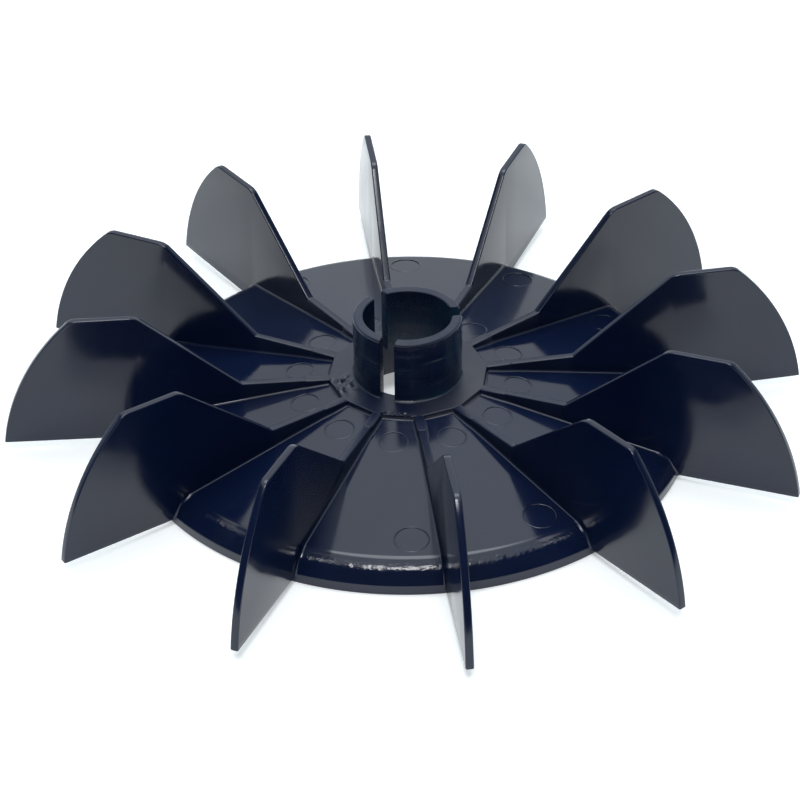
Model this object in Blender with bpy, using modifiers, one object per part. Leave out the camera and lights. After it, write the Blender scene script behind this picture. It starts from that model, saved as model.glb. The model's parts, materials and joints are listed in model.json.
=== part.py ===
"""Moulded motor cooling wheel: a dished back plate, a boss with a split collar and twelve radial vanes.

Units are metres. The wheel stands on the lower edge of its rim, with +Z along the shaft axis, towards the
collar's open end. The first vane and the first slot of the collar lie along +X.
"""

import bmesh
import bpy
from math import asin, atan2, cos, pi, radians, sin, tan
from mathutils import Matrix, Vector

mm = 0.001

# Whole wheel
vane_count = 12
finger_count = 3
gap = 0.3 * mm                    # joint line left between neighbouring members
pitch = 2 * pi / vane_count

# Back plate: a shallow cone with a turned-down rim
wall = 2.6 * mm
break_radius = 84.3 * mm          # the conical floor ends at this line
break_height = 9.2 * mm
edge_radius = 87.1 * mm           # edge between the rim's two slopes
edge_height = 7.3 * mm
edge_fillet = 1.6 * mm
lip_radius = 90.0 * mm            # top of the upright lip, the widest place of the plate
lip_height = 3.3 * mm
foot_radius = 89.9 * mm           # lower edge of the lip, which the wheel stands on
floor_top = 16.5 * mm             # the floor has climbed to this height at the boss
turn_steps = 96

# Boss and bore
boss_radius = 25.5 * mm           # corners of the twelve-sided boss, one at each rib
boss_height = 18.0 * mm
boss_depth = 3.4 * mm
bore_radius = 14.0 * mm
sleeve_radius = 18.0 * mm
sleeve_bottom = 8.2 * mm

# Split collar
collar_radius = 17.2 * mm
collar_height = 39.2 * mm
slot_width = 4.8 * mm

# Vanes and the low ribs that join them to the boss
rib_end = 53.1 * mm               # the rib ends and the vane's inner slope begins
rib_height = 18.9 * mm
rib_thickness = 2.5 * mm
shoulder = Vector((84.6 * mm, 46.4 * mm))     # top inner corner of a vane, as radius and height
crown = Vector((104.5 * mm, 47.0 * mm))       # top outer corner
tip = Vector((128.6 * mm, 4.1 * mm))          # lowest, outermost corner
root_height = 2.2 * mm                        # where the lower edge meets the rim
shoulder_fillet = 5.8 * mm
crown_fillet = 4.7 * mm
outer_radius = 70.3 * mm                      # curvature of the outer edge
top_thickness = 2.1 * mm
tip_thickness = 2.6 * mm


def floorHeight(radius):
    """Height of the conical floor of the plate."""
    climbed = (break_radius - radius) / (break_radius - boss_radius)
    return break_height + (floor_top - break_height) * climbed


def arcPoints(centre, radius, start, end, steps):
    turn = (end - start) / steps
    return [centre + radius * Vector((cos(start + i * turn), sin(start + i * turn)))
            for i in range(steps + 1)]


def filletPoints(before, corner, after, radius, steps=5):
    """Points of the arc that rounds a corner between two straight edges."""
    inward, onward = (before - corner).normalized(), (after - corner).normalized()
    half = inward.angle(onward) / 2
    centre = corner + (inward + onward).normalized() * radius / sin(half)
    first = corner + inward * radius / tan(half) - centre
    last = corner + onward * radius / tan(half) - centre
    start = atan2(first.y, first.x)
    sweep = (atan2(last.y, last.x) - start + pi) % (2 * pi) - pi
    return arcPoints(centre, radius, start, start + sweep, steps)


def bulgePoints(first, last, radius, steps=10):
    """Points of the arc from first to last that bulges to the left of that direction."""
    chord = last - first
    side = Vector((-chord.y, chord.x)).normalized()
    centre = (first + last) / 2 - side * (radius ** 2 - (chord.length / 2) ** 2) ** 0.5
    start, end = ((p - centre) for p in (first, last))
    turn = (atan2(end.y, end.x) - atan2(start.y, start.x) + pi) % (2 * pi) - pi
    return arcPoints(centre, radius, atan2(start.y, start.x), atan2(start.y, start.x) + turn, steps)


def rimOutline(outset=0.0):
    """Outside of the rim from the break line down to the foot, as radius and height."""
    line = Vector((break_radius, break_height))
    edge = Vector((edge_radius, edge_height))
    lip = Vector((lip_radius, lip_height))
    outline = [line] + filletPoints(line, edge, lip, edge_fillet, 3) + [lip, Vector((foot_radius, 0.0))]
    return [point + Vector((outset, outset)) for point in outline]


def plateProfile():
    """Closed section of the plate, down its outside and back up its inside."""
    hole = sleeve_radius + gap
    seat = boss_height - boss_depth - gap
    outside = [Vector((hole, seat)), Vector((boss_radius, seat)),
               Vector((boss_radius, floor_top))] + rimOutline()
    inside = [Vector((lip_radius - wall, 0.0)), Vector((lip_radius - wall, lip_height - wall / 3)),
              Vector((edge_radius - wall * 0.7, edge_height - wall * 0.8)),
              Vector((break_radius - wall * 0.3, break_height - wall)),
              Vector((boss_radius, floor_top - wall)), Vector((hole, seat - wall))]
    return outside + inside


def ribOutline():
    """Side view of one rib, from the boss to the foot of the vane."""
    inner, outer = boss_radius + gap, rib_end - gap / 2
    return [Vector((inner, floorHeight(inner) + gap)), Vector((outer, floorHeight(outer) + gap)),
            Vector((outer, rib_height)), Vector((inner, boss_height))]


def vaneOutline():
    """Side view of one vane, standing on the floor and reaching out past the rim."""
    inner = rib_end + gap / 2
    heel = Vector((inner, rib_height))
    foot = rimOutline(gap)[:-1]
    root = Vector((lip_radius + gap, root_height))
    outer_edge = bulgePoints(crown, tip, outer_radius)
    crown_round = filletPoints(shoulder, crown, outer_edge[1], crown_fillet)
    outer_edge = [p for p in outer_edge if p.y < crown_round[-1].y - mm]
    return ([heel] + filletPoints(heel, shoulder, crown, shoulder_fillet)
            + crown_round + outer_edge + [root] + foot[::-1]
            + [Vector((inner, floorHeight(inner) + gap))])


def fingerOutline():
    """Plan of one collar finger, centred on +X."""
    half = pi / finger_count
    outer_end = half - asin(slot_width / 2 / collar_radius)
    inner_end = half - asin(slot_width / 2 / bore_radius)
    axis = Vector((0.0, 0.0))
    return (arcPoints(axis, collar_radius, -outer_end, outer_end, 20)
            + arcPoints(axis, bore_radius, inner_end, -inner_end, 20))


def plastic(name, colour, roughness):
    material = bpy.data.materials.new(name)
    material.use_nodes = True
    shader = material.node_tree.nodes["Principled BSDF"]
    shader.inputs["Base Color"].default_value = (*colour, 1.0)
    shader.inputs["Roughness"].default_value = roughness
    shader.inputs["Metallic"].default_value = 0.0
    return material


def collection(name):
    made = bpy.data.collections.new(name)
    bpy.context.scene.collection.children.link(made)
    return made


def empty(name, location=(0, 0, 0), turn=0.0):
    made = bpy.data.objects.new(name, None)
    made.empty_display_size = 0.01
    made.location = location
    made.rotation_euler.z = turn
    parts.objects.link(made)
    return made


def place(name, mesh, material, parent, turn=0.0, location=(0, 0, 0)):
    made = bpy.data.objects.new(name, mesh)
    made.rotation_euler.z = turn
    made.location = location
    made.parent = parent
    if not mesh.materials:
        mesh.materials.append(material)
    parts.objects.link(made)
    return made


def extruded(name, outline, thickness):
    """Mesh of a flat outline in XY, filled and given a thickness about Z = 0."""
    curve = bpy.data.curves.new(name, "CURVE")
    curve.dimensions = "2D"
    curve.fill_mode = "BOTH"
    curve.extrude = thickness / 2
    spline = curve.splines.new("POLY")
    spline.points.add(len(outline) - 1)
    for point, corner in zip(spline.points, outline):
        point.co = (corner.x, corner.y, 0.0, 1.0)
    spline.use_cyclic_u = True
    drawn = bpy.data.objects.new(name, curve)
    bpy.context.scene.collection.objects.link(drawn)
    depsgraph = bpy.context.evaluated_depsgraph_get()
    mesh = bpy.data.meshes.new_from_object(drawn.evaluated_get(depsgraph))
    mesh.name = name
    bpy.data.objects.remove(drawn)
    shape = bmesh.new()
    shape.from_mesh(mesh)
    bmesh.ops.remove_doubles(shape, verts=shape.verts, dist=0.01 * mm)
    bmesh.ops.recalc_face_normals(shape, faces=shape.faces)
    shape.to_mesh(mesh)
    shape.free()
    return mesh


def upright(mesh):
    """Stand a mesh drawn in XY up in XZ, so that its thickness lies along Y."""
    mesh.transform(Matrix.Rotation(radians(90), 4, "X"))
    return mesh


def addDraft(mesh):
    """Thin a vane towards its top, as the mould needs."""
    rate = (tip_thickness - top_thickness) / (crown.y - tip.y)
    for vertex in mesh.vertices:
        thickness = tip_thickness - rate * (vertex.co.z - tip.y)
        vertex.co.y *= thickness / tip_thickness
    return mesh


def shadeRound(mesh):
    mesh.shade_smooth()
    mesh.set_sharp_from_angle(angle=radians(30))


def cylinder(name, radius, low, high, segments, turn=0.0):
    """Closed prism or cylinder about the Z axis."""
    mesh = bpy.data.meshes.new(name)
    shape = bmesh.new()
    bmesh.ops.create_cone(shape, cap_ends=True, segments=segments, radius1=radius, radius2=radius,
                          depth=high - low,
                          matrix=Matrix.Translation((0, 0, (low + high) / 2)) @ Matrix.Rotation(turn, 4, "Z"))
    shape.to_mesh(mesh)
    shape.free()
    return mesh


def cutter(name, mesh):
    made = bpy.data.objects.new(name, mesh)
    made.hide_render = True
    made.display_type = "WIRE"
    cutters.objects.link(made)
    return made


def buildPlate(parent, material):
    outline = plateProfile()
    mesh = bpy.data.meshes.new("back_plate")
    count = len(outline)
    mesh.from_pydata([(p.x, 0.0, p.y) for p in outline], [(i, (i + 1) % count) for i in range(count)], [])
    plate = place("back_plate", mesh, material, parent)
    turn = plate.modifiers.new("turn", "SCREW")
    turn.axis = "Z"
    turn.angle = 2 * pi
    turn.steps = turn.render_steps = turn_steps
    turn.use_merge_vertices = True
    turn.merge_threshold = 0.00001
    turn.use_smooth_shade = False


def buildBoss(parent, material):
    flange = cylinder("hub_boss", boss_radius, boss_height - boss_depth, boss_height, vane_count)
    first = Vector(flange.vertices[0].co.xy)
    flange.transform(Matrix.Rotation(-atan2(first.y, first.x), 4, "Z"))
    boss = place("hub_boss", flange, material, parent)
    sleeve = cutter("sleeve", cylinder("sleeve", sleeve_radius, sleeve_bottom, boss_height - mm, 48))
    bore = cutter("bore", cylinder("bore", bore_radius, 0.0, collar_height, 60))
    for tool, operation in ((sleeve, "UNION"), (bore, "DIFFERENCE")):
        join = boss.modifiers.new(tool.name, "BOOLEAN")
        join.operation = operation
        join.solver = "EXACT"
        join.object = tool


def buildCollar(material):
    """Three fingers, each bending about a line across its root."""
    low, high = boss_height + gap, collar_height
    hinge_radius = (bore_radius + collar_radius) / 2
    mesh = extruded("collar_finger", fingerOutline(), high - low)
    mesh.transform(Matrix.Translation((-hinge_radius, 0, (high - low) / 2 + gap)))
    shadeRound(mesh)
    for i in range(finger_count):
        facing = (i + 0.5) * 2 * pi / finger_count
        root = (hinge_radius * cos(facing), hinge_radius * sin(facing), boss_height)
        hinge = empty(f"finger_hinge_{i + 1}", root, facing)
        place(f"collar_finger_{i + 1}", mesh, material, hinge)


def buildWebs(parent, material):
    """The ribs and the vanes, one of each every thirty degrees."""
    rib = upright(extruded("rib", ribOutline(), rib_thickness))
    vane = addDraft(upright(extruded("vane", vaneOutline(), tip_thickness)))
    for i in range(vane_count):
        place(f"hub_rib_{i + 1:02d}", rib, material, parent, i * pitch)
        place(f"vane_{i + 1:02d}", vane, material, parent, i * pitch)


for old in list(bpy.data.objects):
    bpy.data.objects.remove(old, do_unlink=True)

parts = collection("motor_cooling_wheel")
cutters = collection("cutters")
wheel = empty("wheel")
buildPlate(wheel, plastic("plate_plastic", (0.010, 0.012, 0.020), 0.22))
buildBoss(wheel, plastic("boss_plastic", (0.010, 0.012, 0.020), 0.28))
buildCollar(plastic("collar_plastic", (0.008, 0.012, 0.022), 0.32))
buildWebs(wheel, plastic("vane_plastic", (0.008, 0.010, 0.018), 0.18))
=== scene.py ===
import bmesh
import bpy
import json
from math import asin, atan2, cos, exp, pi, radians, sin, tan
from mathutils import Matrix, Vector, noise

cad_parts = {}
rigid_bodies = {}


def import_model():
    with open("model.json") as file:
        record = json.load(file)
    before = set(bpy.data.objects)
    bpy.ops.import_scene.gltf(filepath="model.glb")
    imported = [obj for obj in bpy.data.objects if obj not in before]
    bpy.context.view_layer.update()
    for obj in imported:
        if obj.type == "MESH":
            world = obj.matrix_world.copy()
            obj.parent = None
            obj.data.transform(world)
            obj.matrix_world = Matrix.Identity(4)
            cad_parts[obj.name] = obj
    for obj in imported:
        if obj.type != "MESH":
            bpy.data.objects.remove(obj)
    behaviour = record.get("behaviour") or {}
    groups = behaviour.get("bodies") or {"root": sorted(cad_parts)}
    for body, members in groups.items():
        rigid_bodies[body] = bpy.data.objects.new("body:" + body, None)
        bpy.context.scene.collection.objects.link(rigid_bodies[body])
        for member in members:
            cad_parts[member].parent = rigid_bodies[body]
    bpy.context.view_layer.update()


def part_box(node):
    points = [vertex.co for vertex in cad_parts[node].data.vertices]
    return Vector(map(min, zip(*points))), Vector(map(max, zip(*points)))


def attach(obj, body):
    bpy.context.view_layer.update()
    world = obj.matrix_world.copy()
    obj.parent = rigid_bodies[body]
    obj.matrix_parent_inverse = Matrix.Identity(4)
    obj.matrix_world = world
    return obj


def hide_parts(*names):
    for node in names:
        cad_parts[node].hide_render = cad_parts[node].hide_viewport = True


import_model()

# Motor cooling wheel, moulded in one piece. The scene is in metres, with the shaft along +Z and the first
# vane along +X; the sizes in the pieces' dictionaries are in millimetres.
mm = 0.001
floorBreak = Vector((84.3 * mm, 9.2 * mm))      # outer end of the plate's conical floor
floorBoss = Vector((25.5 * mm, 16.5 * mm))      # where the floor has climbed to the boss
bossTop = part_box("hub_boss")[1].z
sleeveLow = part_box("hub_boss")[0].z
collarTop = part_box("collar_finger_1")[1].z
bore = 14.0 * mm
vaneCount = 12
pitch = 2 * pi / vaneCount


def floorAt(radius):
    # Height of the plate's conical floor
    share = (floorBreak.x - radius) / (floorBreak.x - floorBoss.x)
    return floorBreak.y + (floorBoss.y - floorBreak.y) * share


def circle(steps):
    # Turns of the steps of a whole round
    return [2 * pi * i / steps for i in range(steps)]


def unit(degrees):
    return Vector((cos(radians(degrees)), sin(radians(degrees))))


def bent(before, corner, after, radius, steps):
    # Points of the arc that rounds the corner between two straight edges
    inward, onward = (before - corner).normalized(), (after - corner).normalized()
    half = inward.angle(onward) / 2
    radius = min(radius, 0.49 * tan(half) * min((before - corner).length, (after - corner).length))
    centre = corner + (inward + onward).normalized() * radius / sin(half)
    first = corner + inward * radius / tan(half) - centre
    last = corner + onward * radius / tan(half) - centre
    start = atan2(first.y, first.x)
    sweep = (atan2(last.y, last.x) - start + pi) % (2 * pi) - pi
    return [centre + radius * Vector((cos(start + sweep * i / steps), sin(start + sweep * i / steps)))
            for i in range(steps + 1)]


def softLoop(corners, steps):
    # Closed section from (radius, height, rounding) rows in millimetres. A close point on either side of
    # each arc keeps the shading of the flat faces flat.
    loop, guard = [], 0.15 * mm
    for i, (x, y, rounding) in enumerate(corners):
        here = Vector((x, y)) * mm
        before = Vector(corners[i - 1][:2]) * mm
        after = Vector(corners[(i + 1) % len(corners)][:2]) * mm
        if not rounding:
            loop.append(here)
            continue
        arc = bent(before, here, after, rounding * mm, steps)
        lead, tail = before - arc[0], after - arc[-1]
        if lead.length > 0.1 * mm:
            loop.append(arc[0] + lead * min(0.45, guard / lead.length))
        loop += arc
        if tail.length > 0.1 * mm:
            loop.append(arc[-1] + tail * min(0.45, guard / tail.length))
    return loop


def cutFine(loop, longest):
    # The same closed section with its long edges cut into shorter ones
    fine = []
    for i, here in enumerate(loop):
        after = loop[(i + 1) % len(loop)]
        parts = max(1, round((after - here).length / longest))
        fine += [here.lerp(after, k / parts) for k in range(parts)]
    return fine


def plainTurn(point, angle):
    return Vector((cos(angle) * point.x, sin(angle) * point.x, point.y))


def turned(name, loop, angles, place=plainTurn):
    # A closed section carried right round the axis; place() puts a section point at a turn
    mesh = bpy.data.meshes.new(name)
    count, rows = len(loop), len(angles)
    points = [place(point, angle) for angle in angles for point in loop]
    faces = [(j * count + i, j * count + (i + 1) % count,
              (j + 1) % rows * count + (i + 1) % count, (j + 1) % rows * count + i)
             for j in range(rows) for i in range(count)]
    mesh.from_pydata(points, [], faces)
    return outward(mesh)


def outward(mesh):
    # Merges doubled points and turns the faces outwards
    shape = bmesh.new()
    shape.from_mesh(mesh)
    bmesh.ops.remove_doubles(shape, verts=shape.verts, dist=0.002 * mm)
    bmesh.ops.recalc_face_normals(shape, faces=shape.faces)
    shape.to_mesh(mesh)
    shape.free()
    return mesh


def shadeParts(mesh):
    # Smooth shading that breaks at real edges
    mesh.shade_smooth()
    mesh.set_sharp_from_angle(angle=radians(38))


def shown(name, mesh, finish=None):
    # A piece one sees; without a finish it keeps what its mesh already has
    shadeParts(mesh)
    made = bpy.data.objects.new(name, mesh)
    bpy.context.scene.collection.objects.link(made)
    if finish:
        mesh.materials.clear()
        mesh.materials.append(finish)
    return made


helpers = bpy.data.collections.new("helpers")
bpy.context.scene.collection.children.link(helpers)


def helper(name, data):
    # An object that only feeds a modifier or a node tree
    made = bpy.data.objects.new(name, data)
    helpers.objects.link(made)
    return made


def polyline(name, splines, closed=False):
    curve = bpy.data.curves.new(name, "CURVE")
    curve.dimensions = "3D"
    curve.twist_mode = "Z_UP"
    for points in splines:
        spline = curve.splines.new("POLY")
        spline.points.add(len(points) - 1)
        for point, co in zip(spline.points, points):
            point.co = (*co, 1.0)
        spline.use_cyclic_u = closed
    return helper(name, curve)


def settled(made, name):
    # Plain mesh of an object with its modifiers applied; the object itself goes
    dependencies = bpy.context.evaluated_depsgraph_get()
    mesh = bpy.data.meshes.new_from_object(made.evaluated_get(dependencies), depsgraph=dependencies)
    mesh.name = name
    bpy.data.objects.remove(made)
    return mesh


class Wire:
    # A socket in a tree; arithmetic on it adds Math nodes
    def __init__(self, tree, socket):
        self.tree, self.socket = tree, socket

    def sum(self, operation, first, second=None):
        given = {0: first} if second is None else {0: first, 1: second}
        return self.tree.node("ShaderNodeMath", {"operation": operation}, given)

    def __add__(self, other): return self.sum("ADD", self, other)
    def __radd__(self, other): return self.sum("ADD", other, self)
    def __sub__(self, other): return self.sum("SUBTRACT", self, other)
    def __rsub__(self, other): return self.sum("SUBTRACT", other, self)
    def __mul__(self, other): return self.sum("MULTIPLY", self, other)
    def __rmul__(self, other): return self.sum("MULTIPLY", other, self)
    def __truediv__(self, other): return self.sum("DIVIDE", self, other)
    def __rtruediv__(self, other): return self.sum("DIVIDE", other, self)
    def __pow__(self, other): return self.sum("POWER", self, other)
    def __rpow__(self, other): return self.sum("POWER", other, self)
    def __abs__(self): return self.sum("ABSOLUTE", self)

    def past(self, start):
        # How far the value is over a start, and nothing below it
        return self.sum("MAXIMUM", self - start, 0.0)


class Tree:
    # A node tree and the one method that adds to it
    def __init__(self, nodes):
        self.nodes = nodes

    def node(self, kind, settings=None, sockets=None, out=0):
        made = self.nodes.nodes.new(kind)
        for key, value in (settings or {}).items():
            setattr(made, key, value)
        for key, value in (sockets or {}).items():
            if isinstance(value, Wire):
                self.nodes.links.new(value.socket, made.inputs[key])
            else:
                made.inputs[key].default_value = value
        return Wire(self, made.outputs[out]) if made.outputs else made

    def step(self, value, low, high, bottom=0.0, top=1.0):
        return self.node("ShaderNodeMapRange", {"interpolation_type": "SMOOTHSTEP"}, {
            "Value": value, "From Min": low, "From Max": high, "To Min": bottom, "To Max": top})

    def mix(self, share, first, second):
        mixed = self.node("ShaderNodeMix", {"data_type": "RGBA"}, {"Factor": share}, out=2)
        for key, colour in ((6, first), (7, second)):
            if isinstance(colour, Wire):
                self.nodes.links.new(colour.socket, mixed.socket.node.inputs[key])
            else:
                mixed.socket.node.inputs[key].default_value = (*colour, 1.0)
        return mixed


class Finish(Tree):
    # A material with its texture coordinates ready
    def __init__(self, name):
        self.material = bpy.data.materials.new(name)
        self.material.use_nodes = True
        super().__init__(self.material.node_tree)
        self.nodes.nodes.clear()
        self.place = self.node("ShaderNodeTexCoord", out="Object")
        parts = self.node("ShaderNodeSeparateXYZ", sockets={0: self.place}).socket.node
        self.x, self.y, self.z = (Wire(self, parts.outputs[i]) for i in range(3))

    def noise(self, scale, detail=2.0, at=None, rough=0.5):
        return self.node("ShaderNodeTexNoise", sockets={
            "Vector": at or self.place, "Scale": scale, "Detail": detail, "Roughness": rough})

    def polar(self):
        # Distance from the shaft and turn about it, as a share of a whole turn
        radius = (self.x * self.x + self.y * self.y) ** 0.5
        turn = self.node("ShaderNodeMath", {"operation": "ARCTAN2"}, {0: self.y, 1: self.x}) / (2 * pi)
        return radius, turn

    def bump(self, height, depth, strength=1.0, normal=None):
        given = {"Height": height, "Distance": depth, "Strength": strength}
        if normal:
            given["Normal"] = normal
        return self.node("ShaderNodeBump", sockets=given)

    def surface(self, **sockets):
        named = {key.replace("_", " "): value for key, value in sockets.items()}
        shader = self.node("ShaderNodeBsdfPrincipled", sockets=named)
        self.node("ShaderNodeOutputMaterial", sockets={"Surface": shader})
        return self.material


class Growth(Tree):
    # A geometry tree with named inputs, run once on an object
    def __init__(self, name, **inputs):
        super().__init__(bpy.data.node_groups.new(name, "GeometryNodeTree"))
        face = self.nodes.interface
        face.new_socket("Geometry", in_out="INPUT", socket_type="NodeSocketGeometry")
        self.keys = {key: face.new_socket(key, in_out="INPUT", socket_type="NodeSocket" + kind).identifier
                     for key, kind in inputs.items()}
        face.new_socket("Geometry", in_out="OUTPUT", socket_type="NodeSocketGeometry")
        entry = self.nodes.nodes.new("NodeGroupInput")
        self.given = {socket.name: Wire(self, socket) for socket in entry.outputs if socket.name}

    def end(self, geometry):
        # Makes the instances real and gives them their material
        real = self.node("GeometryNodeRealizeInstances", sockets={0: geometry})
        painted = self.node("GeometryNodeSetMaterial", sockets={0: real, "Material": self.given["Finish"]})
        self.nodes.links.new(painted.socket, self.nodes.nodes.new("NodeGroupOutput").inputs[0])

    def run(self, made, name, **values):
        modifier = made.modifiers.new(name, "NODES")
        modifier.node_group = self.nodes
        for key, value in values.items():
            modifier[self.keys[key]] = value
        return settled(made, name)


# Gloss black nylon with a slight blue cast; the boss's paler colour is partly painted sheen and the collar's
# teal one is painted reflection; lengths here are in metres
gloss = {"ink": (0.0023, 0.0062, 0.0250), "haze": (0.0042, 0.0090, 0.0320), "tealReflection": (0.0095, 0.0285, 0.0560),
         "dustAndSheen": (0.0240, 0.0260, 0.0400), "ior": 1.50, "cloudScale": 34.0, "patchScale": 120.0,
         "peelScale": 1400.0, "trimScale": 820.0, "trimBand": (0.0852, 0.0862, 0.0882, 0.0892),
         "sunkPast": (0.096, 0.014)}

# rough: span of the roughness; hub: where it turns duller towards the hub, and by how much
# peel, flow, sag, trim: depths of the bumps in millimetres; sunk: hollow of a face, outwards and upwards
nylons = {
    "plateNylon": {"rough": (0.085, 0.16), "hub": (0.042, 0.030, 0.05), "trim": 0.13},
    "vaneNylon": {"rough": (0.10, 0.17), "hub": (0.056, 0.050, 0.26), "sag": 0.05, "lines": "upright",
                  "sunk": (1.9, 1.15)},
    # the boss's pale cloud colour is partly the grey of its dull skin and partly painted sheen
    "bossNylon": {"rough": (0.30, 0.42), "peel": 0.004, "haze": "dustAndSheen"},
    # the collar's cloudy teal colour is a painted reflection tint; the collar is the same plastic as the rest
    # of the wheel
    "collarNylon": {"rough": (0.15, 0.30), "peel": 0.004, "flow": 0.05, "lines": "rings", "haze": "tealReflection",
                    "dullTop": 0.3}}


def flowLines(finish, lines, radius, turn):
    # Faint marks left where the plastic ran: radial, upright or in rings
    if lines == "radial":
        scale, along = 3.2, {0: turn * 26.0, 1: radius * 14.0}
    elif lines == "upright":
        scale, along = 160.0, {0: finish.x, 1: finish.y, 2: finish.z * 0.25}
    else:
        scale, along = 420.0, {0: turn * 0.004, 1: radius * 0.3, 2: finish.z}
    return finish.noise(scale, 4.0, at=finish.node("ShaderNodeCombineXYZ", sockets=along), rough=0.6)


def nylonFor(name, rough, hub=None, haze="haze", peel=0.003, flow=0.006, sag=0.10, lines="radial",
             trim=0.0, sunk=None, dullTop=0.0):
    finish = Finish(name)
    radius, turn = finish.polar()
    cloud, patch = finish.noise(gloss["cloudScale"], 3.0), finish.noise(gloss["patchScale"])
    streak = flowLines(finish, lines, radius, turn)
    # cloudy tone of the plastic; on the boss its paler colour is partly painted sheen, on the collar its teal
    # colour is painted reflection
    colour = finish.mix(finish.step(cloud, 0.35, 0.7), gloss["ink"], gloss[haze])
    roughness = finish.step(patch * 0.5 + streak * 0.5, 0.3, 0.7, *rough)
    if hub:
        start, end, duller = hub
        roughness = roughness + finish.step(radius, start, end) * duller
    if dullTop:
        crest = finish.step(finish.z, collarTop - 0.6 * mm, collarTop - 0.1 * mm)
        roughness = roughness + crest * dullTop
        colour = finish.mix(crest, colour, gloss["haze"])
    waves = finish.bump(cloud, sag * mm, 0.35)
    skin = finish.bump(streak, flow * mm * 4, 0.3, waves)
    normal = finish.bump(finish.noise(gloss["peelScale"]), peel * mm, 0.6, skin)
    if trim:
        # the trimmed edge of the rim ripples finely
        start, full, fading, end = gloss["trimBand"]
        band = finish.step(radius, start, full) * finish.step(radius, end, fading)
        normal = finish.bump(finish.noise(gloss["trimScale"]) * band, trim * mm, 1.0, normal)
    if sunk:
        # the faces have sunk a little towards their middle
        outer, upper = radius.past(gloss["sunkPast"][0]), finish.z.past(gloss["sunkPast"][1])
        normal = finish.bump(outer * outer * sunk[0] + upper * upper * sunk[1], 1.0, 1.0, normal)
    return finish.surface(Base_Color=colour, Roughness=roughness, IOR=gloss["ior"], Normal=normal)


plateNylon, vaneNylon, bossNylon, collarNylon = [nylonFor(name, **look) for name, look in nylons.items()]
print("finishes ready")

# Back plate; its inner edge is hidden in the boss
plate = {"steps": 720, "longest": 6, "hiddenRadius": 17.4, "edgeRadius": 87.0, "edgeWidth": 1.1,
         "edgeHeight": 6.2, "edgeWave": 0.14, "slowWave": 9, "quickWave": 34}


def plateSection():
    return softLoop([
        (plate["hiddenRadius"], 15.4, 0), (25.0, 16.2, 0), (25.5, 16.5, 0),
        (84.0, 9.24, 4.6), (87.2, 7.3, 5.5), (90.0, 3.3, 1.1), (89.9, 0.0, 0.35),
        (87.4, 0.0, 0.3), (87.4, 2.43, 1.2), (85.28, 5.22, 1.0), (83.52, 6.6, 1.4),
        (25.5, 13.9, 0.8), (plate["hiddenRadius"], 11.6, 0)], 6)


def platePlace(point, angle):
    radius, height = point
    turn = Vector((cos(angle), sin(angle)))
    near = exp(-((radius - plate["edgeRadius"] * mm) / (plate["edgeWidth"] * mm)) ** 2)
    if near > 0.01 and height > plate["edgeHeight"] * mm:
        # the trimmed edge is never quite even
        slow, quick = plate["slowWave"], plate["quickWave"]
        wave = noise.noise(Vector((turn.x * slow, turn.y * slow, 0.0))) * 0.6
        wave += noise.noise(Vector((turn.x * quick, turn.y * quick, 3.0)))
        shift = near * wave * plate["edgeWave"] * mm
        radius, height = radius + shift * 0.6, height + shift * 0.8
    return Vector((turn.x * radius, turn.y * radius, height))


backPlate = shown("backPlate", turned("backPlate", cutFine(plateSection(), plate["longest"] * mm),
                                      circle(plate["steps"]), platePlace), plateNylon)

# Ejector marks: two to each sector, shallow round prints of the mould's pins
marks = {"outerRadius": 76.4, "outerSize": 5.1, "outerTurn": 23.1, "outerDeep": 0.16, "outerHigh": 0.085,
         "innerRadius": 35.0, "innerSize": 4.5, "innerTurn": 15.0, "innerDeep": 0.17, "innerHigh": 0.060,
         "burrWidth": 0.22, "slope": atan2(7.3, 58.8)}


def markPin(name, size, deep):
    section = softLoop([(0.001, 0.6, 0), (size, 0.6, 0), (size, -deep, 0.05), (0.001, -deep - 0.02, 0)], 3)
    return helper(name, turned(name, section, circle(56)))


def markBurr(name, size, high):
    # The faint raised line round a print
    section = [Vector((size + marks["burrWidth"] * cos(pi * k / 3), high * sin(pi * k / 3) - 0.01)) * mm
               for k in range(6)]
    return helper(name, turned(name, section, circle(64)))


def joined(made, extra):
    # Adds a mesh to an object's own
    shape = bmesh.new()
    shape.from_mesh(made.data)
    shape.from_mesh(extra)
    shape.to_mesh(made.data)
    shape.free()


def markTree():
    # One pin or burr to each sector, leaning with the plate's slope
    tree = Growth("ejectorMarks", Pin="Object", Distance="Float", Height="Float", Turn="Float",
                  Slope="Float", Count="Int", Finish="Material")
    given = tree.given
    angle = given["Turn"] + tree.node("GeometryNodeInputIndex") * pitch
    spot = tree.node("ShaderNodeCombineXYZ", sockets={
        0: given["Distance"] * tree.node("ShaderNodeMath", {"operation": "COSINE"}, {0: angle}),
        1: given["Distance"] * tree.node("ShaderNodeMath", {"operation": "SINE"}, {0: angle}),
        2: given["Height"]})
    points = tree.node("GeometryNodePoints", sockets={"Count": given["Count"], "Position": spot})
    pin = tree.node("GeometryNodeObjectInfo", sockets={"Object": given["Pin"]}, out="Geometry")
    lean = tree.node("FunctionNodeEulerToRotation", sockets={
        0: tree.node("ShaderNodeCombineXYZ", sockets={1: given["Slope"], 2: angle})})
    tree.end(tree.node("GeometryNodeInstanceOnPoints", sockets={
        "Points": points, "Instance": pin, "Rotation": lean}))
    return tree


def markRow(which, pin):
    distance = marks[which + "Radius"] * mm
    return pinTree.run(helper("seed", bpy.data.meshes.new("seed")), which + "Marks", Pin=pin,
                       Distance=distance, Height=floorAt(distance), Turn=radians(marks[which + "Turn"]),
                       Slope=marks["slope"], Count=vaneCount, Finish=plateNylon)


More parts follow.
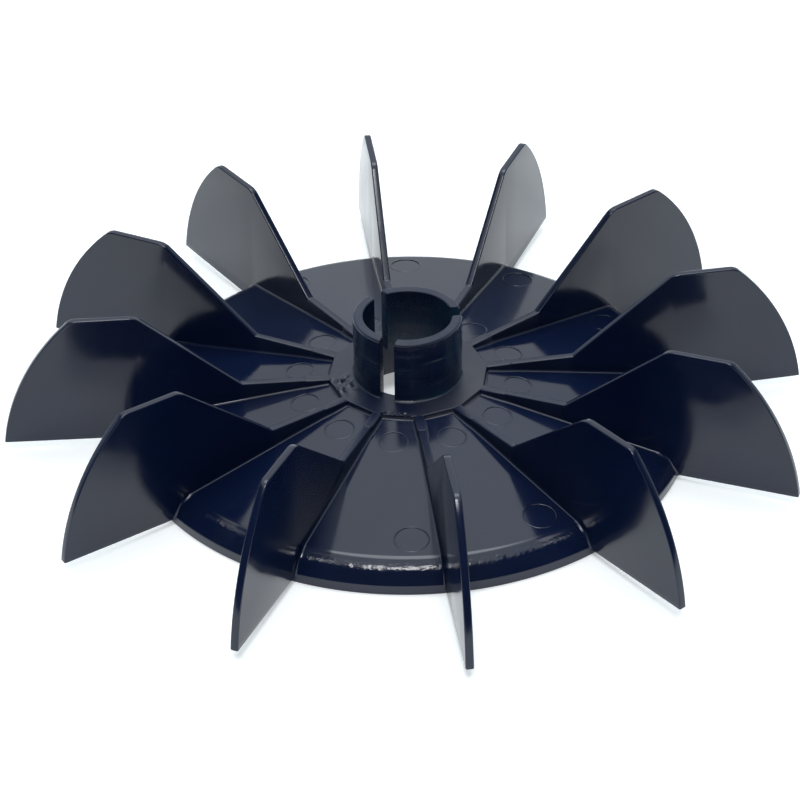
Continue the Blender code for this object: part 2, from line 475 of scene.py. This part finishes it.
pinTree, burrs = markTree(), []
for which in ("outer", "inner"):
    size = marks[which + "Size"]
    pins = markRow(which, markPin(which + "Pin", size, marks[which + "Deep"]))
    burrs.append(markRow(which, markBurr(which + "Burr", size, marks[which + "High"])))
    dip = backPlate.modifiers.new(which + "Marks", "BOOLEAN")
    dip.operation, dip.solver, dip.object = "DIFFERENCE", "EXACT", helper(which + "Pins", pins)
backPlate = shown("backPlate", settled(backPlate, "backPlate"))
for burr in burrs:
    joined(backPlate, burr)
shadeParts(backPlate.data)
print("back plate ready")

# Boss and sleeve; the boss's top has a rough patch and the scar of a gate
boss = {"steps": 720, "longest": 0.9, "knurls": 96, "knurlDepth": 0.07, "flatFrom": 20.5, "flatWidth": 3.5,
        "dentTurn": 191.0, "dentRadius": 22.2, "dentHigh": 1.5, "dentWide": 4.4, "dentGrain": 430,
        "gateTurn": 254.0, "gateRadius": 24.2, "gateHigh": 0.9, "gateLong": 5.0, "gateWide": 0.9}


def boreWave(radius, angle):
    # Depth of the light flutes on the wall of the bore, which fade out beyond it
    fade = max(0.0, 1 - (radius - bore) / (0.3 * mm))
    return abs(sin(angle * boss["knurls"] / 2)) * boss["knurlDepth"] * mm * fade


def polygonShare(angle):
    # Radius of the twelve-sided boss as a share of its corner radius
    return cos(pitch / 2) / cos(angle % pitch - pitch / 2)


def bossSection():
    # Close points across the top carry the rough patch
    top, foot, low = bossTop / mm, floorBoss.y / mm, sleeveLow / mm
    return softLoop([(14.0, top, 0.25)] + [(18.5 + 0.3 * k, top, 0) for k in range(21)] + [
        (25.5, top, 0.35), (25.5, foot + 0.55, 0), (25.75, foot + 0.12, 0.3),
        (26.3, foot - 0.11, 0.2), (26.3, foot - 0.6, 0), (20.0, foot - 1.5, 0), (19.3, 12.0, 0),
        (18.25, 11.3, 0.3), (18.0, 10.6, 0.3), (18.0, low, 0.4), (14.0, low, 0.5)], 5)


def topRoughness(at):
    # Rise of the boss's top at a place on it
    dent = boss["dentRadius"] * mm * unit(boss["dentTurn"])
    gate = boss["gateRadius"] * mm * unit(boss["gateTurn"])
    rough = noise.noise(Vector((at.x, at.y, 0.0)) * boss["dentGrain"])
    rise = boss["dentHigh"] * mm * rough * exp(-((at - dent).length / (boss["dentWide"] * mm)) ** 2)
    across = (at - gate).dot(gate.normalized())
    length = (at - gate).dot(Vector((-gate.y, gate.x)).normalized())
    if abs(length) < boss["gateLong"] * mm and abs(across) < boss["gateWide"] * mm:
        rise += boss["gateHigh"] * mm * noise.noise(Vector((length * 900, across * 500, 2.0)))
    return rise


def bossPlace(point, angle):
    radius, height = point
    spin = Vector((cos(angle), sin(angle)))
    flat = max(0.0, min(1.0, (radius - boss["flatFrom"] * mm) / (boss["flatWidth"] * mm)))
    reach = radius * (1 + flat * (polygonShare(angle) - 1)) - boreWave(radius, angle)
    if height > bossTop - 0.7 * mm and radius > 18 * mm:
        height += topRoughness(spin * reach)
    return Vector((spin.x * reach, spin.y * reach, height))


hubBoss = shown("hubBoss", turned("hubBoss", cutFine(bossSection(), boss["longest"] * mm),
                                  circle(boss["steps"]), bossPlace), bossNylon)
print("boss ready")

# Split collar of three fingers, with shallow turning rings outside
fingers = {"count": 3, "slot": 4.8, "round": 0.35, "steps": 150, "longest": 0.4, "middle": 15.6,
           "ringDepth": 0.20, "ringPitch": 1.9, "ringsFrom": 1.2, "ringsTo": 0.9}


def collarSection():
    top, low = collarTop / mm, bossTop / mm
    return softLoop([
        (14.0, top, 0.45), (17.2, top, 0.9), (17.2, low + 0.9, 0), (17.35, low + 0.3, 0.4),
        (17.9, low - 0.02, 0.2), (17.9, low - 0.4, 0), (14.0, low - 0.4, 0)], 6)


def fingerRows():
    # How far the section has shrunk, its distance from the slot's wall, and its share of half the finger's
    # turn; the first and last five rows round the edges along the slots
    steps, soft = fingers["steps"], fingers["round"] * mm
    edge = [(soft * (1 - sin(pi / 2 * k / 4)), soft * (1 - cos(pi / 2 * k / 4))) for k in range(5)]
    rows = [(inset, deep, 1) for inset, deep in edge]
    rows += [(0.0, soft, 1 - 2 * k / steps) for k in range(1, steps)]
    return rows + [(inset, deep, -1) for inset, deep in edge[::-1]]


def fingerPoint(point, inset, middle):
    # A section point drawn in towards the wall's middle, and down from its top, by the edge rounding
    here, to = point.copy(), middle - point
    if inset:
        here.x += inset * (1 if to.x > 0 else -1) * min(1.0, abs(to.x) / (0.8 * mm))
        if point.y > middle.y:
            here.y -= inset * min(1.0, max(0.0, (point.y - collarTop + 1.0 * mm) / (0.4 * mm)))
    return here


def ringDip(angle, height):
    # Depth of the turning rings at a place on the collar
    ring = noise.noise(Vector((1.1 * cos(angle), 1.1 * sin(angle), height / (fingers["ringPitch"] * mm))))
    return min(0.0, fingers["ringDepth"] * mm * ring)


def fingerMesh(name, facing):
    section = cutFine(collarSection(), fingers["longest"] * mm)
    middle = Vector((fingers["middle"] * mm, (collarTop + bossTop) / 2))
    half = pi / fingers["count"]
    ringed = bossTop + fingers["ringsFrom"] * mm, collarTop - fingers["ringsTo"] * mm
    points, rows = [], fingerRows()
    for inset, deep, share in rows:
        for point in section:
            here = fingerPoint(point, inset, middle)
            angle = facing + share * (half - asin((fingers["slot"] / 2 * mm + deep) / here.x))
            reach = here.x
            if not inset:
                reach -= boreWave(here.x, angle)
                if here.x > 16.9 * mm and ringed[0] < here.y < ringed[1]:
                    reach += ringDip(angle, here.y)
            points.append(Vector((cos(angle) * reach, sin(angle) * reach, here.y)))
    count, lines = len(section), len(rows)
    faces = [(j * count + i, j * count + (i + 1) % count,
              (j + 1) * count + (i + 1) % count, (j + 1) * count + i)
             for j in range(lines - 1) for i in range(count)]
    faces += [tuple(range(count)), tuple(range((lines - 1) * count, lines * count))]
    mesh = bpy.data.meshes.new(name)
    mesh.from_pydata(points, [], faces)
    return outward(mesh)


collarPieces = []
for i in range(fingers["count"]):
    name = f"collarFinger{i + 1}"
    facing = (i + 0.5) * 2 * pi / fingers["count"]
    collarPieces.append(shown(name, fingerMesh(name, facing), collarNylon))
print("collar ready")

# Ribs and vanes. Points are (distance from the shaft, height); columns are (distance, half thickness)
vane = {"inner": 24.6, "ribEnd": 53.1, "ribHeight": 18.9, "heelRound": 1.2, "shoulder": (84.6, 46.4),
        "shoulderRound": 5.8, "crown": (104.5, 47.0), "crownRound": 4.7, "tip": (128.6, 4.1), "bulge": 70.3,
        "root": 2.2, "topThick": 2.28, "tipThick": 2.5, "soft": 0.42, "sink": 0.4, "fillet": 0.75, "bite": 0.07,
        "rimEdge": (87.1, 7.3), "rimLip": (90.0, 3.3), "rimRound": 1.6,
        "footStart": (25.6, 1.57), "footRadii": (34.4, 44.0, 58.0, 72.0, 83.4), "footEnd": 90.02,
        "rootColumns": [(24.8, 1.58), (30.5, 1.52), (32.6, 1.42), (33.6, 1.12)],
        "rootRise": 27.6, "rootSoft": 0.40}


def bulged(first, last, radius, steps=22):
    # Points of the arc of a given radius between two points
    chord = last - first
    side = Vector((-chord.y, chord.x)).normalized()
    centre = (first + last) / 2 - side * (radius ** 2 - (chord.length / 2) ** 2) ** 0.5
    start, end = first - centre, last - centre
    turn = (atan2(end.y, end.x) - atan2(start.y, start.x) + pi) % (2 * pi) - pi
    angle = atan2(start.y, start.x)
    return [centre + radius * Vector((cos(angle + turn * i / steps), sin(angle + turn * i / steps)))
            for i in range(steps + 1)]


def rimLine(outset):
    # The plate's outline from the end of its floor over the rim to the lip, moved out a little
    edge, lip = Vector(vane["rimEdge"]) * mm, Vector(vane["rimLip"]) * mm
    outline = [floorBreak] + bent(floorBreak, edge, lip, vane["rimRound"] * mm, 3) + [lip]
    return [point + Vector((outset, outset)) for point in outline]


def webOutline():
    # Side view of a rib and its vane as one sheet, its foot sunk a little into the plate
    sink, inner = vane["sink"] * mm, vane["inner"] * mm
    heel = Vector((vane["ribEnd"], vane["ribHeight"])) * mm
    shoulder, crown, tip = (Vector(vane[key]) * mm for key in ("shoulder", "crown", "tip"))
    start = Vector((inner, bossTop - 0.04 * mm))
    arch = bulged(crown, tip, vane["bulge"] * mm)
    crownArc = bent(shoulder, crown, arch[2], vane["crownRound"] * mm, 7)
    top = [start] + bent(start, heel, shoulder, vane["heelRound"] * mm, 3)
    top += bent(heel, shoulder, crown, vane["shoulderRound"] * mm, 7) + crownArc
    outer = [p for p in arch if p.y < crownArc[-1].y - mm]
    outer.append(Vector((vane["rimLip"][0] * mm - sink, vane["root"] * mm)))
    return top + outer + rimLine(-sink)[::-1] + [Vector((inner, floorAt(inner) - sink))]


def thickAt(height):
    # The vanes thin a little towards their top, so that they leave the mould
    rate = (vane["tipThick"] - vane["topThick"]) / (vane["crown"][1] - vane["tip"][1])
    return (vane["tipThick"] - rate * (height / mm - vane["tip"][1])) * mm


def softened(made, soft):
    # Rounds the edges; the large faces stay flat in shading
    made.data.shade_smooth()
    edge = made.modifiers.new("softEdge", "BEVEL")
    edge.width, edge.segments, edge.limit_method = soft, 3, "ANGLE"
    edge.angle_limit = radians(50)
    edge.use_clamp_overlap = False
    mesh = settled(made, made.name)
    for face in mesh.polygons:
        face.use_smooth = face.area < 10 * mm ** 2
    return mesh


def sheet(name, outline, thick, soft):
    # Upright solid of an outline in XZ, thick() giving its thickness by height, with its edges rounded
    count = len(outline)
    points = [Vector((p.x, side * thick(p.y) / 2, p.y)) for side in (-1, 1) for p in outline]
    faces = [tuple(range(count)), tuple(range(count, 2 * count))[::-1]]
    faces += [(i, (i + 1) % count, count + (i + 1) % count, count + i) for i in range(count)]
    mesh = bpy.data.meshes.new(name)
    mesh.from_pydata(points, [], faces)
    return softened(helper(name, outward(mesh)), soft)


def footPath():
    # The line where a web meets the plate, out along one side and back along the other
    first = [vane["footStart"]] + vane["rootColumns"][1:3]
    path = [Vector((r * mm, -half * mm, floorAt(r * mm))) for r, half in first]
    for r in vane["footRadii"]:
        path.append(Vector((r * mm, -thickAt(floorAt(r * mm)) / 2, floorAt(r * mm))))
    for p in rimLine(0.0) + [Vector((vane["footEnd"], vane["root"])) * mm]:
        path.append(Vector((p.x, -thickAt(p.y) / 2, p.y)))
    mirrored = [Vector((p.x, -p.y, p.z)) for p in path[::-1]]
    return polyline("footPath", [path, mirrored])


def filletSection():
    # Hollow corner section: across from the web, down from the corner
    size, bite, steps = vane["fillet"] * mm, vane["bite"] * mm, 6
    ring = [Vector((-bite, -size - bite))]
    for i in range(steps + 1):
        turn = pi / 2 * i / steps
        ring.append(Vector((size * (1 - cos(turn)) - 0.02 * mm, size * (sin(turn) - 1) + 0.02 * mm)))
    ring += [Vector((size + bite, bite)), Vector((-0.5 * mm, 0.5 * mm))]
    return polyline("filletSection", [[(p.x, p.y, 0.0) for p in ring]], closed=True)


def webTree():
    # Fillets follow the foot path, the root block and sheet join them, and the web turns to its place
    tree = Growth("webs", Path="Object", Section="Object", Root="Object", Turn="Float", Finish="Material")
    given = tree.given
    shape = {key: tree.node("GeometryNodeObjectInfo", sockets={"Object": given[key]}, out="Geometry")
             for key in ("Path", "Section", "Root")}
    fillet = tree.node("GeometryNodeCurveToMesh", sockets={
        "Curve": shape["Path"], "Profile Curve": shape["Section"], "Fill Caps": True})
    smooth = tree.node("GeometryNodeSetShadeSmooth", sockets={0: fillet})
    web = tree.node("GeometryNodeJoinGeometry")
    for part in (given["Geometry"], smooth, shape["Root"]):
        tree.nodes.links.new(part.socket, web.socket.node.inputs[0])
    spin = tree.node("ShaderNodeCombineXYZ", sockets={2: given["Turn"]})
    tree.end(tree.node("GeometryNodeTransform", sockets={0: web, "Rotation": spin}))
    return tree


def rootBlock():
    # The thicker first stretch of a rib, tapering into the rest
    rise = (vane["ribHeight"] * mm - bossTop) / (vane["rootRise"] * mm)
    points, count = [], len(vane["rootColumns"])
    for r, half in vane["rootColumns"]:
        top = bossTop + rise * (r - 25.5) * mm + 0.03 * mm
        low = floorAt(r * mm) - vane["sink"] * mm
        points += [Vector((r * mm, y * half * mm, z)) for y, z in ((-1, low), (1, low), (1, top), (-1, top))]
    faces = [(4 * j + k, 4 * j + (k + 1) % 4, 4 * j + 4 + (k + 1) % 4, 4 * j + 4 + k)
             for j in range(count - 1) for k in range(4)]
    faces += [(0, 1, 2, 3), tuple(4 * count - 4 + k for k in (3, 2, 1, 0))]
    mesh = bpy.data.meshes.new("rootBlock")
    mesh.from_pydata(points, [], faces)
    return softened(helper("rootBlock", outward(mesh)), vane["rootSoft"] * mm)


growing = webTree()
webMesh = sheet("web", webOutline(), thickAt, vane["soft"] * mm)
paths, sections, roots = footPath(), filletSection(), helper("root", rootBlock())
webs = []
for i in range(vaneCount):
    name = f"vane{i + 1:02d}"
    mesh = growing.run(helper("seed", webMesh), name, Path=paths, Section=sections, Root=roots,
                       Turn=i * pitch, Finish=vaneNylon)
    mesh.set_sharp_from_angle(angle=radians(34))
    made = bpy.data.objects.new(name, mesh)
    bpy.context.scene.collection.objects.link(made)
    webs.append(made)
for spare in list(helpers.objects):
    bpy.data.objects.remove(spare)
bpy.data.collections.remove(helpers)
print("vanes ready")

# Each web stands for a vane and its rib
wheelPieces = [(backPlate, ["back_plate"]), (hubBoss, ["hub_boss"])]
wheelPieces += [(web, [f"vane_{i + 1:02d}", f"hub_rib_{i + 1:02d}"]) for i, web in enumerate(webs)]
for piece, nodes in wheelPieces:
    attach(piece, "wheel")
    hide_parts(*nodes)
for i, piece in enumerate(collarPieces):
    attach(piece, f"finger_{i + 1}")
    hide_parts(f"collar_finger_{i + 1}")
print("bodies ready")

# Floor and light, in metres. Places are (azimuth, elevation) in degrees; rise is the height of a direction
studio = {"floor": (0.895, 0.922, 0.930), "speck": 0.985, "floorGlow": 0.37,
          "key": (-99.0, 62.0), "keySize": (0.52, 0.40), "keyPower": 8.2, "keyDistance": 1.5,
          "front": -97.24, "tint": (0.94, 1.0, 1.04), "shade": (0.86, 1.0, 1.07),
          "lift": 0.42, "liftRise": (0.54, 0.78),
          "panel": (82.0, 74.0), "panelEdge": (17, 10), "panelLight": 3.6,
          "frontDark": 0.93, "frontReach": (-0.15, 0.3), "frontRise": (0.87, 0.77),
          "sideDark": (0.30, 0.88), "sideReach": (0.38, 0.60), "sideRise": (0.50, 0.64)}


def paleFloor():
    shape = bmesh.new()
    bmesh.ops.create_grid(shape, x_segments=4, y_segments=4, size=3.0)
    mesh = bpy.data.meshes.new("floor")
    shape.to_mesh(mesh)
    shape.free()
    paper = Finish("paper")
    darker = tuple(c * studio["speck"] for c in studio["floor"])
    colour = paper.mix(paper.step(paper.noise(9.0, 4.0), 0.3, 0.7), studio["floor"], darker)
    material = paper.surface(Base_Color=colour, Roughness=0.9, Emission_Color=colour,
                             Emission_Strength=studio["floorGlow"])
    made = shown("floor", mesh, material)
    made.location.z = -0.05 * mm


def spotAt(azimuth, elevation, distance=1):
    a, e = radians(azimuth), radians(elevation)
    return Vector((cos(a) * cos(e), sin(a) * cos(e), sin(e))) * distance


def softbox(name, size, power, place):
    # A soft light that faces the wheel
    light = bpy.data.lights.new(name, "AREA")
    light.shape = "RECTANGLE"
    light.size, light.size_y = size
    light.energy = power
    made = bpy.data.objects.new(name, light)
    bpy.context.scene.collection.objects.link(made)
    made.location = place
    made.rotation_euler = (-place).to_track_quat("-Z", "Y").to_euler()


def studioSky():
    # A white room, brighter towards its ceiling panel, dimmer at the sides and low down in front
    world = bpy.data.worlds.new("studio")
    world.use_nodes = True
    sky = Tree(world.node_tree)
    sky.nodes.nodes.clear()
    way = sky.node("ShaderNodeTexCoord", out="Generated")
    rise = Wire(sky, sky.node("ShaderNodeSeparateXYZ", sockets={0: way}).socket.node.outputs[2])

    def towards(*place):
        settings = {"operation": "DOT_PRODUCT"}
        return sky.node("ShaderNodeVectorMath", settings, {0: way, 1: spotAt(*place)}, out="Value")

    outer, full = (cos(radians(edge)) for edge in studio["panelEdge"])
    panel = sky.step(towards(*studio["panel"]), outer, full)
    front = sky.step(towards(studio["front"], 0), *studio["frontReach"]) * sky.step(rise, *studio["frontRise"])
    side = sky.step(abs(towards(studio["front"] + 90, 0)), *studio["sideReach"])
    low, high = studio["sideDark"]
    light = (1 + studio["lift"] * sky.step(rise, *studio["liftRise"])) * (1 - studio["frontDark"] * front)
    light = light * (1 - side * (low + sky.step(rise, *studio["sideRise"]) * (high - low)))
    light = light + studio["panelLight"] * panel
    seen = sky.node("ShaderNodeLightPath", out="Is Camera Ray")      # the backdrop itself stays white
    glow = sky.node("ShaderNodeBackground", sockets={
        "Color": sky.mix(side * (1 - seen), studio["tint"], studio["shade"]),
        "Strength": light * (1 - seen) + seen})
    sky.node("ShaderNodeOutputWorld", sockets={"Surface": glow})
    bpy.context.scene.world = world


paleFloor()
studioSky()
softbox("keyLight", studio["keySize"], studio["keyPower"], spotAt(*studio["key"], studio["keyDistance"]))
bpy.context.scene.view_settings.view_transform = "Standard"

# The camera stands back along -Y and up, in metres, aims by its angles in radians, and then goes round the
# wheel by turn degrees
shot = {"yaw": -0.0043, "tilt": -0.6091, "roll": -0.0142, "back": 0.624186, "up": 0.442102,
        "turn": -7.24, "lens": 106.785}


def setCamera():
    yaw, tilt, roll = shot["yaw"], shot["tilt"], shot["roll"]
    forward = Vector((sin(yaw) * cos(tilt), cos(yaw) * cos(tilt), sin(tilt)))
    right = Vector((cos(yaw), -sin(yaw), 0.0))
    above = right.cross(forward)
    r, u = right * cos(roll) + above * sin(roll), -right * sin(roll) + above * cos(roll)
    stand = Matrix(((r.x, u.x, -forward.x, 0.0), (r.y, u.y, -forward.y, -shot["back"]),
                    (r.z, u.z, -forward.z, shot["up"]), (0.0, 0.0, 0.0, 1.0)))
    lens = bpy.data.cameras.new("camera")
    lens.lens, lens.sensor_width = shot["lens"], 36.0
    lens.clip_start, lens.clip_end = 0.01, 20.0
    camera = bpy.data.objects.new("camera", lens)
    bpy.context.scene.collection.objects.link(camera)
    camera.matrix_world = Matrix.Rotation(radians(shot["turn"]), 4, "Z") @ stand
    bpy.context.scene.camera = camera


setCamera()
